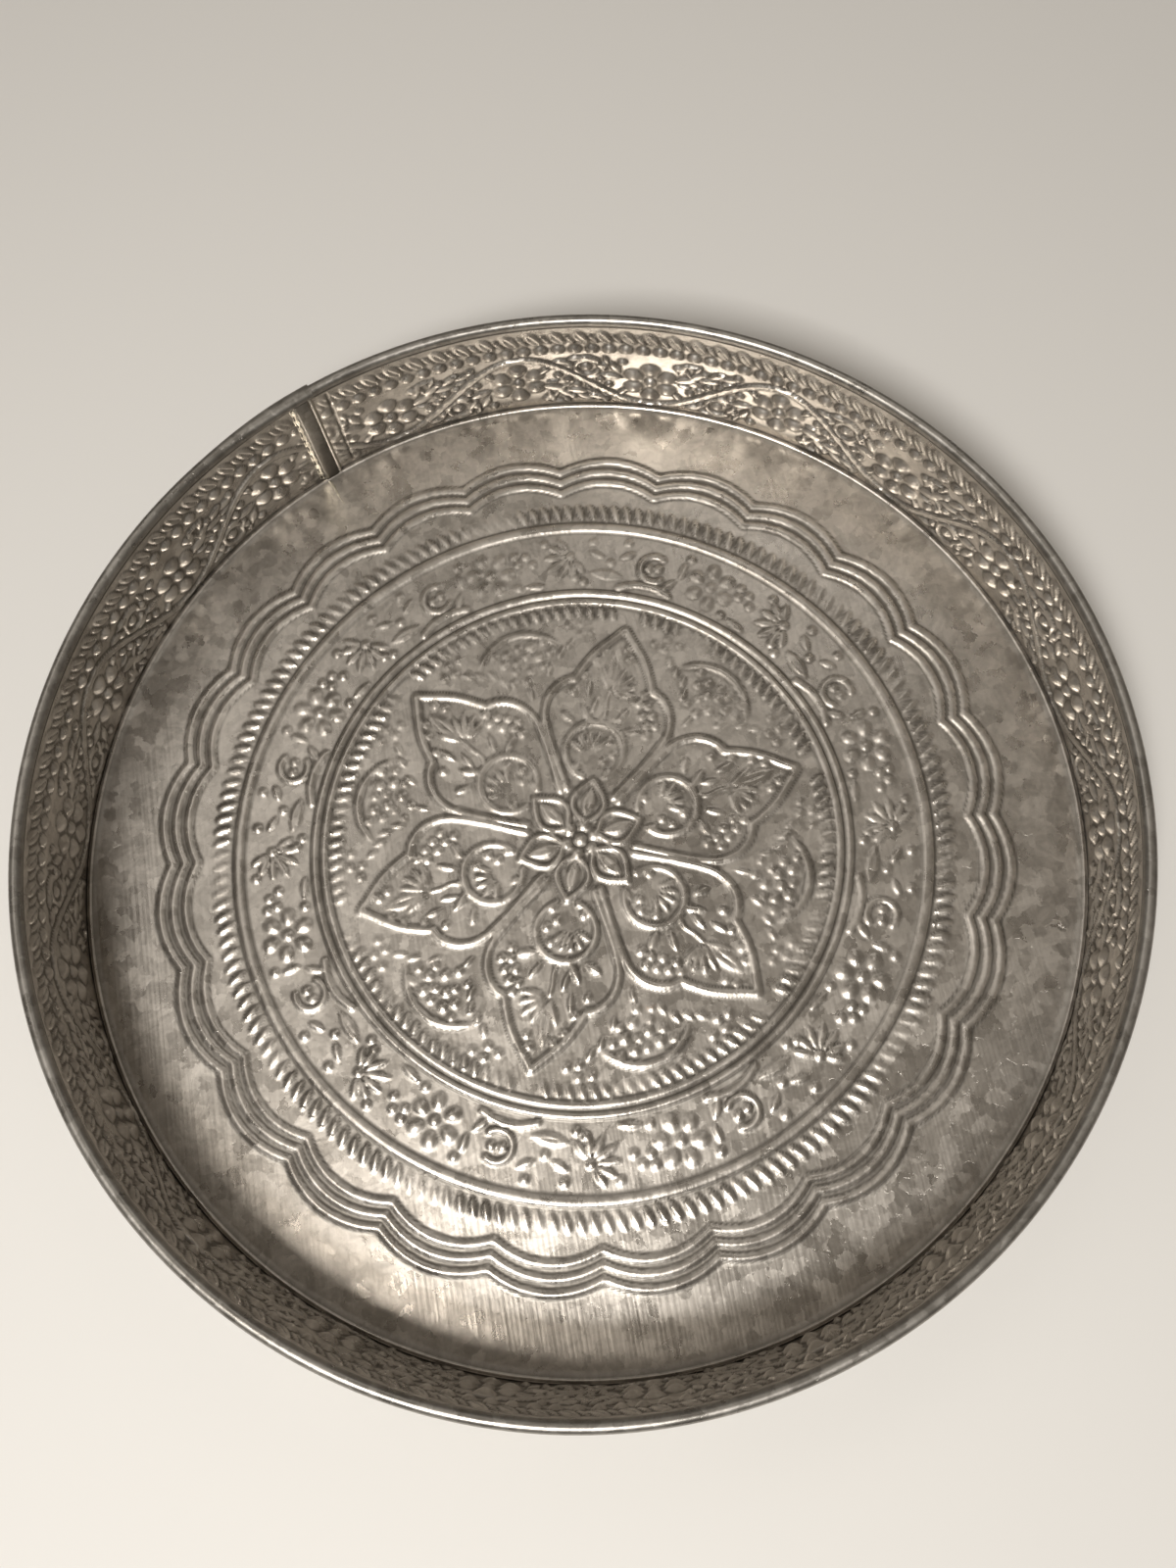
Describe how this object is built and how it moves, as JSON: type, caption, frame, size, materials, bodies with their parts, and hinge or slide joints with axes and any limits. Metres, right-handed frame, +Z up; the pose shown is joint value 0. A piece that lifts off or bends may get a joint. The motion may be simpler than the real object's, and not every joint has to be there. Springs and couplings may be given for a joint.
{
  "type": "serving tray",
  "caption": "Round serving tray of embossed galvanised sheet, with a patterned floor, an upright wall with a pressed vine, a wired rolled rim and a swinging ring to hang it by.",
  "frame": {"origin": "middle of the round foot, on the surface that the tray stands on", "axes": "+Z up through the middle of the floor, +Y towards the hanging ring, +X to the right when the ring is at the far side"},
  "size_m": [0.5, 0.5001, 0.0763],
  "materials": {
    "zinc_floor": "galvanised, spangled, semi-gloss, lightly tarnished",
    "zinc_wall": "galvanised, spangled, semi-gloss, lightly tarnished",
    "rim_wire": "drawn steel wire, hidden in the rim",
    "solder": "dull tin solder",
    "hanger_steel": "galvanised, dull"
  },
  "bodies": {
    "tray": {"base_disc": "zinc_floor", "side_wall": "zinc_wall", "rim_wire": "rim_wire", "seam_solder": "solder", "hanger_strap": "hanger_steel", "strap_solder": "solder"},
    "ring": {"hanger_ring": "hanger_steel"}
  },
  "joints": [
    {"name": "ring_swing", "type": "hinge", "parent": "tray", "child": "ring", "pos_m": [0, 0.24799, 0.0635], "axis": [1, 0, 0], "range_deg": [-1.5, 150]}
  ]
}
